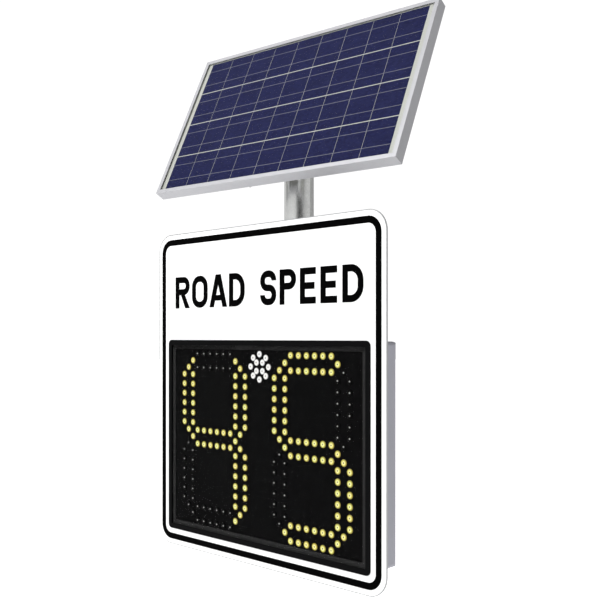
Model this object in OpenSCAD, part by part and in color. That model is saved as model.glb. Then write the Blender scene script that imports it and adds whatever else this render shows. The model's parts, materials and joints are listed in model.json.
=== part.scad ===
// Solar speed sign on a mast stub: radar speed display, rear enclosure, tilting solar panel.
// Origin: centre of the mast's lower mouth. +Z up, the sign faces -Y.

/* [Mast] */
// Outer diameter of the mast tube
mast_d = 76.1; // [70:0.1:80]
// Wall of the mast tube
mast_wall = 3.2; // [2.5:0.1:4]
// Depth of the socket for the ground post
socket_depth = 200; // [120:10:300]

/* [Sign plate] */
// Width of the sign plate
plate_w = 783; // [760:1:800]
// Height of the sign plate
plate_h = 838; // [820:1:860]
// Corner radius of the sign plate
plate_r = 50; // [30:1:60]
// Thickness of the sign plate
plate_t = 2.6; // [2:0.2:3]
// Height of the plate's centre above the mast's lower mouth
plate_z = 400; // [380:5:420]
// Distance from the mast's axis to the sign's face
face_y = 146; // [140:1:150]
// Distance from the plate's edge to the border stripe
border_inset = 14.3; // [10:0.1:20]
// Width of the border stripe
border_w = 15.7; // [10:0.1:18]

/* [Legend] */
// Height of the capital letters
cap_h = 84; // [70:1:90]
// Width of the letter strokes
stroke = 16.2; // [10:0.1:18]
// Height of the legend's baseline above the plate's centre
baseline = 218.5; // [215:0.5:240]

/* [Display] */
// Outer width of the window bezel
window_w = 695; // [680:1:700]
// Outer height of the window bezel
window_h = 509; // [500:1:515]
// Height of the window's centre above the plate's centre
window_dz = -120.5; // [-125:0.5:-115]
// Spacing of the display LEDs
led_pitch = 25.4; // [25:0.1:26]
// Diameter of an LED lens
led_d = 17; // [12:0.5:18]
// Diameter of a strobe LED lens
strobe_led_d = 16; // [12:0.5:16]
// Distance of each digit's centre from the middle of the window
digit_x = 168.8; // [165:0.1:172]

/* [Enclosure] */
// Width of the enclosure
box_w = 698; // [690:1:710]
// Height of the enclosure
box_h = 505; // [500:1:510]
// Distance from the mast's axis to the enclosure's rear face
box_back_y = 51; // [50:1:56]
// Thickness of the enclosure's walls
box_wall = 2.5; // [2:0.1:3]
// Radius of the enclosure's edges
box_r = 10; // [8:1:12]
// Width of the service door
door_w = 236; // [220:1:240]
// Height of the service door
door_h = 245; // [220:1:250]

/* [Solar panel] */
// Length of the panel
panel_w = 756; // [720:1:780]
// Width of the panel up its slope
panel_h = 452; // [440:1:470]
// Depth of the panel's frame
frame_d = 30; // [28:1:35]
// Slope of the panel above the horizontal, as built
panel_tilt = 64; // [50:1:70]
// Turn of the panel about the mast, as built
panel_yaw = 5; // [0:1:15]
// Height of the tilt pivot above the plate's centre
pivot_dz = 711; // [700:1:730]
// Distance from the tilt pivot to the glass
pivot_to_glass = 51; // [48:1:56]

/* [Hidden] */
$fn = 48;
fit = 0.1;
running_fit = 0.05;
gap = 0.3;
through = 1;

mast_r = mast_d / 2;
mast_bore_r = mast_r - mast_wall;
pivot_z = plate_z + pivot_dz;
mast_raw_r = mast_bore_r - 0.35;
mast_h = pivot_z - 80;
stop_ring_w = 8;
stop_ring_t = 6;
grub_r = 5;
grub_proud = 2.5;
grub_hex_r = 2.8;
grub_hex_depth = 2;

// Depths along Y of the sign's layers, from its face towards the mast
film_t = 0.3;
border_r = plate_r - 13;
sheeting_t = 0.4;
plate_front = -face_y + sheeting_t;
plate_back = plate_front + plate_t;
window_z = plate_z + window_dz;
bezel_w = 13;
bezel_r = 12;
bezel_inner_r = 4;
bezel_lap = 7.5;
bezel_proud = 2;
cutout_w = window_w - 2 * bezel_lap;
cutout_h = window_h - 2 * bezel_lap;
pane_t = 2.5;
pane_clearance = 0.7;
pane_w = cutout_w - 2 * pane_clearance;
pane_h = cutout_h - 2 * pane_clearance;
pane_r = 5;
gasket_t = 2;
gasket_w = 16;
mask_front = -face_y + pane_t + gasket_t;
mask_t = 2;
mask_margin = 1.5;
board_t = 1.6;
board_front = mask_front + mask_t;
lens_t = 1.8;
lens_base_t = 1.08;
lens_step = 2;

// Enclosure
seal_t = 1;
box_front = plate_back + seal_t;
box_back = -box_back_y;
flange_w = 18;
flange_t = 2.5;
flange_r = 8;
hole_play = 0.25;
box_inner_w = box_w - 2 * box_wall;
box_inner_h = box_h - 2 * box_wall;
box_floor = window_z - box_inner_h / 2;
stud_r = 2.5;
stud_len = 12;
stud_nut = [8, 4];
stud_x = box_w / 2 + flange_w / 2;
stud_z = box_h / 2 + flange_w / 2;
stud_rows_x = [for (i = [-2:2]) i * 150];
stud_rows_z = [for (i = [-1:1]) i * 160];

// Rails and clamps
rail_dz = [60, -292];
rail_len = 560;
rail_depth = 10;
rail_t = 2.5;
rail_crown = 20;
rail_brim = 18;
rail_hole_x = 240;
rail_hole_r = 4.5;
rail_bolt_x = [-260, -130, 130, 260];
rail_bolt_r = 3;
rail_bolt_head = [5.5, 3.5];
clamp_r = mast_r + gap;
u_bolt_r = 4;
u_nut = [13, 6];
u_bolt_x = clamp_r + u_bolt_r + gap;
saddle_w = 102;
saddle_h = 30;
saddle_d = 24;

// Service door
door_x = 178;
door_z = window_z - 2;
door_rim = 6;
door_r = 8;
doorway_r = 5;
door_t = 2.5;
door_back = box_back + seal_t;
pin_x = door_x + door_w / 2 + 7;
pin_r = 2.5;
knuckle_r = 4.5;
pin_y = door_back + knuckle_r;
knuckles = 6;
knuckle_len = 25;
knuckle_gap = 0.5;
leaf_t = 1.5;
leaf_w = 15.5;
lock_x = door_x - door_w / 2 + 24;
lock_r = 9;
lock_flange = [13, 3];
lock_nut = [24, 5];
plug_r = 6;
plug_slot = [1.6, 1.5, 8];
cam_t = 2;
cam_len = 34;
cam_end_r = 7;
cam_hub_r = 9;

// Inside the enclosure, and the stiffener above it
header_dz = 300;
header_depth = 20;
header_leg = 15;
header_t = 2;
bracket_dz = 180;
bracket_h = 20;
bracket_t = 2;
bracket_foot = 18;
battery = [151, 65, 95];
battery_y = -101;
battery_x = [90, 245];
equipment_y = -112;
equipment_t = 2;
equipment_margin = 4.5;
equipment_low = -105;
equipment_h = 320;
charger = [140, 35, 95];
charger_x = 178;
charger_z = window_z + 60;
rocker_r = 5;
rocker_w = 14;

// Yoke and tilt bracket
collar_wall = 6;
collar_h = 68;
collar_top = pivot_z - 74;
collar_cap_t = 5;
collar_bolt_r = 4;
collar_bolt_z = collar_top - 44;
collar_bolt_head = [6.5, 5];
yoke_half = 51;
ear_t = 6;
ear_r = 25;
base_t = 6;
pivot_r = 5;
pivot_nut = [16, 8];
lock_bolt_r = 4;
lock_nut_size = [13, 6];
slot_r = 50;
slot_from = -100;
slot_to = -175;
ear_gap = 1.5;
washer_r = 14;
washer_t = 1.2;
cradle_t = 5;
cradle_r = 64;
cradle_front = 26;
cradle_in = yoke_half + ear_gap;

// Solar panel, in its own frame: X along it, Y up the slope, Z out of the glass
lip_w = 11;
lip_t = 1.5;
frame_front = pivot_to_glass + lip_t;
frame_back = frame_front - frame_d;
frame_wall = 2;
frame_flange = 22;
shelf_t = 1.2;
glass_t = 3.2;
cell_t = 0.3;
sheet_t = 0.6;
cell_rows = 4;
cell_columns = 9;
cell_area_w = 706;
cell_area_h = 429;
row_gap = 2.6;
column_gap = 0.9;
rail_x = 77.5;
cross_w = 40;
cross_d = 12.5;
cross_t = 2.5;

// Rounded rectangle centred on the origin
module rounded(w, h, r) {
  square([w - 2 * r, h], center = true);
  square([w, h - 2 * r], center = true);
  for (x = [-1, 1], y = [-1, 1])
    translate([x * (w / 2 - r), y * (h / 2 - r)]) circle(r);
}

// Upright plate facing -Y with its front at y = front
module upright(front, t) {
  translate([0, front + t, 0]) rotate([90, 0, 0]) linear_extrude(t) children();
}

// Upright rounded plate centred at height z
module panel(w, h, r, front, t, z) {
  upright(front, t) translate([0, z]) rounded(w, h, r);
}

// Cylinder along Y from y0 to y1
module rod_y(r, y0, y1) {
  translate([0, y1, 0]) rotate([90, 0, 0]) cylinder(r = r, h = y1 - y0);
}

// Hexagon nut along Y, with a hole of radius r
module nut_y(across, r, y0, y1) {
  translate([0, y1, 0]) rotate([90, 0, 0]) difference() {
    cylinder(d = across / cos(30), h = y1 - y0, $fn = 6);
    translate([0, 0, -through]) cylinder(r = r, h = y1 - y0 + 2 * through);
  }
}

// Mast

module at_grub_screws() {
  for (a = [90, 270]) rotate([0, 0, a]) translate([0, 0, socket_depth / 4]) children();
}

module mast_tube() {
  color("silver") difference() {
    cylinder(r = mast_r, h = mast_h, $fn = 96);
    translate([0, 0, -through]) cylinder(r = mast_bore_r, h = socket_depth + through, $fn = 96);
    cylinder(r = mast_raw_r, h = mast_h + through, $fn = 96);
    at_grub_screws() rod_y(grub_r + running_fit, 0, mast_r + through);
  }
}

module mast_stop_ring() {
  color("gray") translate([0, 0, socket_depth]) difference() {
    cylinder(r = mast_raw_r, h = stop_ring_t, $fn = 96);
    translate([0, 0, -through])
      cylinder(r = mast_raw_r - stop_ring_w, h = stop_ring_t + 2 * through, $fn = 96);
  }
}

module mast_grub_screws() {
  color("dimgray") at_grub_screws() difference() {
    rod_y(grub_r, mast_bore_r + fit, mast_r + grub_proud);
    translate([0, mast_r + grub_proud - grub_hex_depth, 0])
      rotate([-90, 0, 0]) cylinder(r = grub_hex_r, h = grub_hex_depth + through, $fn = 6);
  }
}

// Sign plate and its films

module window_cutout(front, t) {
  panel(cutout_w, cutout_h, bezel_w / 2, front - through, t + 2 * through, window_z);
}

module sign_plate() {
  color("silver") difference() {
    panel(plate_w, plate_h, plate_r, plate_front, plate_t, plate_z);
    window_cutout(plate_front, plate_t);
  }
}

module face_sheeting() {
  bare = 2.2;
  color("white") difference() {
    panel(plate_w - 2 * bare, plate_h - 2 * bare, plate_r - bare, -face_y, sheeting_t, plate_z);
    window_cutout(-face_y, sheeting_t);
  }
}

module border_film() {
  inner = border_inset + border_w;
  color([0.03, 0.03, 0.03]) difference() {
    panel(plate_w - 2 * border_inset, plate_h - 2 * border_inset, border_r,
          -face_y - film_t, film_t, plate_z);
    panel(plate_w - 2 * inner, plate_h - 2 * inner, border_r - border_w,
          -face_y - film_t - through, film_t + 2 * through, plate_z);
  }
}

// Letters, drawn with their lower left corner at the origin

module bowl(w, h, y0) {
  r = h / 2 - 0.5;
  translate([0, y0]) difference() {
    right_round(w, h, r);
    translate([stroke, stroke]) right_round(w - 2 * stroke, h - 2 * stroke, r - stroke);
  }
}

// Rectangle from the origin whose right corners have radius r
module right_round(w, h, r) {
  intersection() {
    square([w, h]);
    translate([w / 2 - r, h / 2]) rounded(w + 2 * r, h, r);
  }
}

module letter_o(w) {
  r = w / 2 - 2;
  translate([w / 2, cap_h / 2]) difference() {
    rounded(w, cap_h, r);
    rounded(w - 2 * stroke, cap_h - 2 * stroke, r - stroke);
  }
}

module letter_d(w) {
  r = 0.42 * cap_h;
  difference() {
    right_round(w, cap_h, r);
    translate([stroke, stroke]) right_round(w - 2 * stroke, cap_h - 2 * stroke, r - stroke);
  }
}

module letter_p(w) {
  bowl_h = cap_h * 0.58;
  square([stroke, cap_h]);
  bowl(w, bowl_h, cap_h - bowl_h);
}

module letter_r(w) {
  leg_top = cap_h * 0.44;
  letter_p(w);
  polygon([[w - stroke * 1.12, 0], [w + 1, 0], [w * 0.66, leg_top], [w * 0.38, leg_top]]);
}

module letter_a(w) {
  foot = stroke * 1.08;
  crown = stroke * 0.62;
  module outline() {
    polygon([[0, 0], [w, 0], [w / 2 + crown, cap_h], [w / 2 - crown, cap_h]]);
  }
  apex = cap_h * (w / 2 - foot) / (w / 2 - crown);
  difference() {
    outline();
    polygon([[foot, 0], [w / 2, apex], [w - foot, 0], [w - foot, -through], [foot, -through]]);
  }
  intersection() {
    outline();
    translate([0, cap_h * 0.2]) square([w, stroke * 0.9]);
  }
}

module letter_e(w) {
  square([stroke, cap_h]);
  square([w, stroke]);
  translate([0, (cap_h - stroke) / 2]) square([w * 0.92, stroke]);
  translate([0, cap_h - stroke]) square([w, stroke]);
}

// Each half of the S is three quarters of a ring
module letter_s(w) {
  half_h = (cap_h + stroke) / 2;
  r = half_h / 2;
  for (turn = [0, 180]) translate([w / 2, cap_h / 2]) rotate([0, 0, turn])
    translate([-w / 2, -cap_h / 2]) difference() {
      translate([w / 2, half_h / 2]) rounded(w, half_h, r - 0.5);
      translate([w / 2, half_h / 2]) rounded(w - 2 * stroke, half_h - 2 * stroke, r - stroke - 0.5);
      translate([-through, r]) square([w / 2 + through, half_h]);
    }
}

module legend_film() {
  color([0.03, 0.03, 0.03]) upright(-face_y - film_t, film_t) translate([0, plate_z + baseline]) {
    translate([-320, 0]) letter_r(59);
    translate([-251, 0]) letter_o(63);
    translate([-181, 0]) letter_a(68);
    translate([-106, 0]) letter_d(58);
    translate([7, 0]) letter_s(55);
    translate([73, 0]) letter_p(54);
    translate([139, 0]) letter_e(50);
    translate([203, 0]) letter_e(50);
    translate([268, 0]) letter_d(60);
  }
}

// Display

module window_bezel() {
  color([0.02, 0.02, 0.02]) difference() {
    panel(window_w, window_h, bezel_r, -face_y - bezel_proud, bezel_proud, window_z);
    panel(window_w - 2 * bezel_w, window_h - 2 * bezel_w, bezel_inner_r,
          -face_y - bezel_proud - through, bezel_proud + 2 * through, window_z);
  }
}

module window_pane() {
  color([0.1, 0.1, 0.12, 0.3]) panel(pane_w, pane_h, pane_r, -face_y, pane_t, window_z);
}

module window_gasket() {
  color([0.05, 0.05, 0.05]) difference() {
    panel(pane_w, pane_h, pane_r, -face_y + pane_t, gasket_t, window_z);
    panel(pane_w - 2 * gasket_w, pane_h - 2 * gasket_w, bezel_inner_r,
          -face_y + pane_t - through, gasket_t + 2 * through, window_z);
  }
}

module led_mask() {
  color([0.08, 0.08, 0.08])
    panel(box_inner_w - 2 * mask_margin, box_inner_h - 2 * mask_margin, box_r - box_wall,
          mask_front, mask_t, window_z);
}

// LED positions of one digit, in LED pitches from its centre: each entry is [x, z, lit when 4, lit when 5]
run = [for (i = [-2.5:1:2.5]) i];
across_gap = 0.71;
upright_gap = 0.693;
middle = 100.6 / led_pitch;
function across(z, four, five) = [for (i = run, s = [-1, 1]) [i, z + s * across_gap, four, five]];
function upright_run(x, z, four, five) =
  [for (i = run, s = [-1, 1]) [x + s * upright_gap, z + i, four, five]];
inner_x = 82.3 / led_pitch;
outer_x = 100 / led_pitch;
top_z = 201 / led_pitch;
elbow_z = 183 / led_pitch;
digit_leds = concat(
  across(top_z, false, true),
  across(0, true, true),
  across(-top_z, false, true),
  upright_run(-outer_x, middle, true, true),
  upright_run(outer_x, middle, true, false),
  upright_run(-outer_x, -middle, false, false),
  upright_run(outer_x, -middle, true, true),
  [
    [-inner_x, top_z, true, true], [inner_x, top_z, true, true],
    [-inner_x, 0, true, true], [inner_x, 0, true, true],
    [-inner_x, -top_z, false, true], [inner_x, -top_z, true, true],
    [-outer_x, elbow_z, true, true], [outer_x, elbow_z, true, false],
    [-outer_x, across_gap, true, true], [outer_x, across_gap, true, false],
    [-outer_x, -across_gap, false, false], [outer_x, -across_gap, true, true],
    [-outer_x, -elbow_z, false, false], [outer_x, -elbow_z, true, true]
  ]
);

module led(d) {
  rod_y(d / 2, mask_front - lens_base_t, mask_front);
  rod_y(d / 2 - lens_step, mask_front - lens_t, mask_front - lens_base_t);
}

module digit(x, numeral, lit) {
  column_of = numeral == 4 ? 2 : 3;
  for (p = digit_leds) if (p[column_of] == lit)
    translate([x + p[0] * led_pitch, 0, window_z + p[1] * led_pitch]) led(led_d);
}

module tens_leds_lit() { color("gold") digit(-digit_x, 4, true); }

module tens_leds_unlit() { color([0.2, 0.2, 0.2]) digit(-digit_x, 4, false); }

module units_leds_lit() { color("gold") digit(digit_x, 5, true); }

module units_leds_unlit() { color([0.2, 0.2, 0.2]) digit(digit_x, 5, false); }

// Strobe: a ring of eight LEDs round four
strobe_z = plate_z + 69;
strobe_ring_r = 31;
strobe_core_r = strobe_ring_r - strobe_led_d - gap;
module strobe_leds() {
  color("white") translate([0, 0, strobe_z]) {
    for (a = [0:45:315]) rotate([0, a, 0]) translate([strobe_ring_r, 0, 0]) led(strobe_led_d);
    for (a = [45:90:315]) rotate([0, a, 0]) translate([strobe_core_r, 0, 0]) led(strobe_led_d);
  }
}

digit_board_size = [252, 468];
strobe_board_size = 84;
radar_size = [56, 14];
radar_z = window_z - 60;
board_r = 3;
board_x = (strobe_board_size + digit_board_size[0]) / 2 + 2;

module digit_board(x) {
  color("darkgreen") translate([x, 0, 0])
    panel(digit_board_size[0], digit_board_size[1], board_r, board_front, board_t, window_z);
}

module tens_board() { digit_board(-board_x); }

module units_board() { digit_board(board_x); }

module strobe_board() {
  color("darkgreen")
    panel(strobe_board_size, strobe_board_size, board_r, board_front, board_t, strobe_z);
}

module radar_module() {
  color("dimgray") panel(radar_size[0], radar_size[0], board_r, board_front, radar_size[1], radar_z);
}

// Enclosure

// Box whose edges are round, apart from those at its front
module box_solid(w, h, front, back, r) {
  intersection() {
    panel(w, h, r, front, back - front, window_z);
    translate([0, 0, window_z - h / 2]) linear_extrude(h) {
      translate([-w / 2, front]) square([w, back - front - r]);
      translate([-w / 2 + r, front]) square([w - 2 * r, back - front]);
      for (s = [-1, 1]) translate([s * (w / 2 - r), back - r]) circle(r);
    }
    translate([-w / 2, 0, window_z]) rotate([90, 0, 90]) linear_extrude(w) {
      translate([front, -h / 2]) square([back - front - r, h]);
      translate([front, -h / 2 + r]) square([back - front, h - 2 * r]);
      for (s = [-1, 1]) translate([back - r, s * (h / 2 - r)]) circle(r);
    }
  }
}

module at_studs() {
  for (x = stud_rows_x, s = [-1, 1]) translate([x, 0, window_z + s * stud_z]) children();
  for (z = stud_rows_z, s = [-1, 1]) translate([s * stud_x, 0, window_z + z]) children();
}

gland_x = [-110, -60];
gland_y = -95;
gland_r = 8;
vent_x = [-250, 250];
vent_r = 6;

module at_floor_holes(xs) {
  for (x = xs) translate([x, gland_y, box_floor - box_wall]) children();
}

module enclosure_shell() {
  color([0.6, 0.6, 0.63]) difference() {
    union() {
      box_solid(box_w, box_h, box_front, box_back, box_r);
      panel(box_w + 2 * flange_w, box_h + 2 * flange_w, flange_r, box_front, flange_t, window_z);
    }
    box_solid(box_inner_w, box_inner_h, box_front - through, box_back - box_wall, box_r - box_wall);
    at_studs() rod_y(stud_r + hole_play, box_front - through, box_front + flange_t + through);
    at_floor_holes(gland_x) translate([0, 0, -through]) cylinder(r = gland_r, h = 2 * through + box_wall);
    at_floor_holes(vent_x) translate([0, 0, -through]) cylinder(r = vent_r, h = 2 * through + box_wall);
    translate([door_x, 0, 0])
      panel(door_w - 2 * door_rim, door_h - 2 * door_rim, doorway_r, box_back - box_wall - through,
            box_wall + 2 * through, door_z);
  }
}

module enclosure_gasket() {
  rim = flange_w - 2;
  color([0.1, 0.1, 0.1]) difference() {
    panel(box_w + 2 * rim, box_h + 2 * rim, flange_r, plate_back, seal_t, window_z);
    panel(box_w, box_h, box_r, plate_back - through, seal_t + 2 * through, window_z);
    at_studs() rod_y(stud_r + hole_play, plate_back - through, box_front + through);
  }
}

module plate_studs() {
  color("gray") at_studs() rod_y(stud_r, plate_back, plate_back + stud_len);
}

module stud_nuts() {
  color("gray") at_studs()
    nut_y(stud_nut[0], stud_r, box_front + flange_t, box_front + flange_t + stud_nut[1]);
}

// Hat section along X, open towards -Y, with its brims' front at y = front
module hat_section(len, front, depth, crown, brim, t) {
  translate([-len / 2, 0, 0]) rotate([90, 0, 90]) linear_extrude(len) {
    translate([front + depth - t, -crown]) square([t, 2 * crown]);
    for (s = [-1, 1]) {
      translate([front, s * (crown - t / 2) - t / 2]) square([depth, t]);
      translate([front, s * (crown + brim / 2) - brim / 2]) square([t, brim]);
    }
  }
}

module header_stiffener() {
  color("silver") translate([0, 0, plate_z + header_dz])
    hat_section(box_w, plate_back, header_depth, header_leg, header_leg, header_t);
}

// Each bracket: a web on the shell's side wall, with one foot for the boards and one for the plate
module chassis_brackets() {
  depth = equipment_y - board_front;
  foot_x = box_inner_w / 2 - bracket_foot;
  color("silver") for (x = [-1, 1], z = [-1, 1])
    translate([0, 0, window_z + z * bracket_dz - bracket_h / 2]) {
      translate([x * (box_inner_w / 2 - bracket_t / 2) - bracket_t / 2, board_front, 0])
        cube([bracket_t, depth, bracket_h]);
      for (y = [board_front, equipment_y - bracket_t])
        translate([x * (foot_x + bracket_foot / 2) - bracket_foot / 2, y, 0])
          cube([bracket_foot, bracket_t, bracket_h]);
    }
}

module equipment_plate() {
  w = box_inner_w - 2 * equipment_margin;
  color("silver") translate([-w / 2, equipment_y, window_z + equipment_low])
    cube([w, equipment_t, equipment_h]);
}

board_size = [160, 120];
board_centre = [-150, 60];
chip = [24, 6, 24];
chip_x = [-45, 5, 45];
standoff_r = 3;
standoff_h = 8;
standoff_inset = 8;
equipment_back = equipment_y + equipment_t;

module controller_board() {
  color("darkgreen") translate([board_centre[0], 0, window_z + board_centre[1]]) {
    upright(equipment_back + standoff_h, board_t) rounded(board_size[0], board_size[1], board_r);
    for (x = chip_x)
      translate([x - chip[0] / 2, equipment_back + standoff_h + board_t, -chip[2] / 2]) cube(chip);
  }
}

module board_standoffs() {
  half = board_size / 2 - [standoff_inset, standoff_inset];
  color("gold") translate([board_centre[0], 0, window_z + board_centre[1]])
    for (x = [-1, 1], z = [-1, 1]) translate([x * half[0], 0, z * half[1]])
      rod_y(standoff_r, equipment_back, equipment_back + standoff_h);
}

charger_r = 6;
charger_back = equipment_back + charger[1];
switch_x = charger_x + 40;
rocker_well = [rocker_w + 2 * gap, 8, 20];
module charge_controller() {
  color("steelblue") difference() {
    upright(equipment_back, charger[1]) translate([charger_x, charger_z])
      rounded(charger[0], charger[2], charger_r);
    translate([switch_x - rocker_w / 2 - gap, charger_back - rocker_well[1], charger_z - rocker_well[2] / 2])
      cube(rocker_well + [0, through, 0]);
  }
}

// Rocker button: a disc segment that turns about an axis along X
module switch_rocker() {
  color("firebrick") translate([switch_x - rocker_w / 2, charger_back - 1, charger_z])
    rotate([90, 0, 90]) linear_extrude(rocker_w) {
      circle(rocker_r);
      polygon([[0, -8.5], [2.4, -8.5], [1.6, 0], [3.6, 8.5], [0, 8.5], [-4, 0]]);
    }
}

terminals = [120, 18, 22];
terminal_ways = 10;
terminal_r = 3;
terminal_depth = 6;
module terminal_block() {
  way = terminals[0] / terminal_ways;
  color("darkseagreen") translate([charger_x - terminals[0] / 2, equipment_back, charger_z - charger[2]])
    difference() {
      cube(terminals);
      for (i = [0:terminal_ways - 1])
        translate([(i + 0.5) * way, terminals[1] - terminal_depth, terminals[2] / 2])
          rotate([-90, 0, 0]) cylinder(r = terminal_r, h = terminal_depth + through);
    }
}

tray_t = 2;
tray_lip = 26;
tray_foot = 9;
tray_z = box_floor + 0.2;
tray_top = tray_z + tray_foot + tray_t;
tray_overhang = 82;
tray_depth = battery[1] + 6;
module battery_tray() {
  w = battery_x[1] - battery_x[0] + 2 * tray_overhang;
  color("gray") translate([battery_x[0] - tray_overhang, battery_y - tray_depth / 2, tray_z]) {
    translate([0, 0, tray_foot]) cube([w, tray_depth, tray_t]);
    for (y = [0, tray_depth - tray_t]) translate([0, y, 0]) cube([w, tray_t, tray_lip]);
  }
}

tab = [6, 1, 6];
tab_x = 60;
tab_y = 18;
module batteries() {
  for (x = battery_x) translate([x, battery_y, tray_top]) {
    color("dimgray") translate([-battery[0] / 2, -battery[1] / 2, 0]) cube(battery);
    color("silver") for (s = [-1, 1]) translate([s * tab_x - tab[0] / 2, tab_y, battery[2]]) cube(tab);
  }
}

module battery_strap() {
  t = 1.2;
  w = 24;
  clear_of_lip = tray_lip - tray_foot - tray_t + gap;
  color("black") for (x = battery_x) translate([x - w / 2, battery_y, tray_top]) difference() {
    translate([0, -battery[1] / 2 - t, clear_of_lip])
      cube([w, battery[1] + 2 * t, battery[2] + t - clear_of_lip]);
    translate([-through, -battery[1] / 2, -through])
      cube([w + 2 * through, battery[1], battery[2] + through]);
  }
}

lead_r = 3.5;
gland_across = 24;
gland_hex_h = 6;
gland_cap_h = 14;
gland_cap_r = 10;
gland_nut_h = 5;
vent_cap_h = 6;
vent_cap_r = 10;

// Hexagon of a given size across its flats
module hexagon(across, h) {
  cylinder(d = across / cos(30), h = h, $fn = 6);
}

module cable_glands() {
  below = gland_hex_h + gland_cap_h;
  color("black") at_floor_holes(gland_x) difference() {
    union() {
      translate([0, 0, -gland_hex_h]) hexagon(gland_across, gland_hex_h);
      translate([0, 0, -below]) cylinder(r = gland_cap_r, h = gland_cap_h);
      cylinder(r = gland_r, h = box_wall);
      translate([0, 0, box_wall]) hexagon(gland_across, gland_nut_h);
    }
    translate([0, 0, -below - through])
      cylinder(r = lead_r, h = below + box_wall + gland_nut_h + 2 * through);
  }
}

module vent_plugs() {
  color("black") at_floor_holes(vent_x) {
    translate([0, 0, -vent_cap_h]) cylinder(r = vent_cap_r, h = vent_cap_h);
    cylinder(r = vent_r, h = box_wall + vent_cap_h);
  }
}

// Rails and clamps

module mounting_rail(z) {
  color("silver") translate([0, 0, plate_z + z]) difference() {
    hat_section(rail_len, box_back, rail_depth, rail_crown, rail_brim, rail_t);
    for (s = [-1, 1]) {
      translate([s * rail_hole_x, 0, 0]) rod_y(rail_hole_r, box_back, box_back + rail_depth + through);
      translate([s * u_bolt_x, 0, 0]) rod_y(u_bolt_r + fit, box_back, box_back + rail_depth + through);
    }
    for (x = rail_bolt_x, s = [-1, 1]) translate([x, 0, s * (rail_crown + rail_brim / 2)])
      rod_y(rail_bolt_r + fit, box_back - through, box_back + rail_t + through);
  }
}

module upper_rail() { mounting_rail(rail_dz[0]); }

module lower_rail() { mounting_rail(rail_dz[1]); }

module rail_bolts() {
  head = box_back + rail_t;
  color("gray") for (z = rail_dz, x = rail_bolt_x, s = [-1, 1])
    translate([x, 0, plate_z + z + s * (rail_crown + rail_brim / 2)]) {
      rod_y(rail_bolt_r, box_back, head);
      rod_y(rail_bolt_head[0], head, head + rail_bolt_head[1]);
    }
}

rail_back = box_back + rail_depth;
module mast_saddles() {
  color("dimgray") for (z = rail_dz) translate([0, 0, plate_z + z]) difference() {
    translate([-saddle_w / 2, rail_back, -saddle_h / 2]) cube([saddle_w, saddle_d, saddle_h]);
    translate([0, 0, -saddle_h]) cylinder(r = clamp_r, h = 2 * saddle_h, $fn = 96);
    for (s = [-1, 1]) translate([s * u_bolt_x, 0, 0])
      rod_y(u_bolt_r + fit, rail_back - through, 0);
  }
}

module u_bolts() {
  color("gray") for (z = rail_dz) translate([0, 0, plate_z + z]) {
    rotate_extrude(angle = 180) translate([u_bolt_x, 0]) circle(u_bolt_r);
    for (s = [-1, 1]) translate([s * u_bolt_x, 0, 0]) rod_y(u_bolt_r, box_back + gap, 0);
  }
}

module u_bolt_nuts() {
  color("gray") for (z = rail_dz, s = [-1, 1]) translate([s * u_bolt_x, 0, plate_z + z])
    nut_y(u_nut[0], u_bolt_r, rail_back - rail_t - u_nut[1], rail_back - rail_t);
}

// Service door

module service_door() {
  color([0.6, 0.6, 0.63]) difference() {
    union() {
      translate([door_x, 0, 0]) panel(door_w, door_h, door_r, door_back, door_t, door_z);
      door_knuckles(0);
    }
    translate([lock_x, 0, door_z]) rod_y(lock_r + fit, door_back - through, door_back + door_t + through);
    translate([pin_x, pin_y, 0]) cylinder(r = pin_r + running_fit, h = 2 * plate_z);
  }
}

// Every other knuckle belongs to the door (first = 0) or to the shell (first = 1)
module door_knuckles(first) {
  low = door_z - knuckles * knuckle_len / 2;
  side = first == 0 ? -1 : 1;
  reach = pin_x - door_x - door_w / 2 + 1;
  for (i = [first:2:knuckles - 1]) translate([pin_x, 0, low + i * knuckle_len + knuckle_gap / 2]) {
    translate([0, pin_y, 0]) cylinder(r = knuckle_r, h = knuckle_len - knuckle_gap);
    translate([side < 0 ? -reach : 0, side < 0 ? door_back : box_back, 0])
      cube([reach, side < 0 ? door_t : leaf_t, knuckle_len - knuckle_gap]);
  }
}

module door_gasket() {
  outer = 2;
  inner = outer + 2 * door_rim;
  color("black") translate([door_x, 0, 0]) difference() {
    panel(door_w - outer, door_h - outer, door_r, box_back, seal_t, door_z);
    panel(door_w - inner, door_h - inner, doorway_r, box_back - through, seal_t + 2 * through, door_z);
  }
}

// The shell's leaf of the door hinge and its pin
module door_hinge() {
  leaf_h = knuckles * knuckle_len;
  pin_end = 2;
  press_fit = 0.03;
  color("gray") {
    difference() {
      union() {
        translate([pin_x + knuckle_r + knuckle_gap, box_back, door_z - leaf_h / 2])
          cube([leaf_w, leaf_t, leaf_h]);
        door_knuckles(1);
      }
      translate([pin_x, pin_y, 0]) cylinder(r = pin_r + press_fit, h = 2 * plate_z);
    }
    translate([pin_x, pin_y, door_z - leaf_h / 2 - pin_end]) cylinder(r = pin_r, h = leaf_h + 2 * pin_end);
  }
}

module lock_body() {
  face = door_back + door_t;
  color("silver") translate([lock_x, 0, door_z]) difference() {
    union() {
      rod_y(lock_r, door_back - lock_nut[1] - 2, face);
      rod_y(lock_flange[0], face, face + lock_flange[1]);
      nut_y(lock_nut[0], lock_r, door_back - lock_nut[1], door_back);
    }
    rod_y(plug_r + running_fit, door_back - 2 * lock_nut[1], face + lock_flange[1] + through);
  }
}

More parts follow.
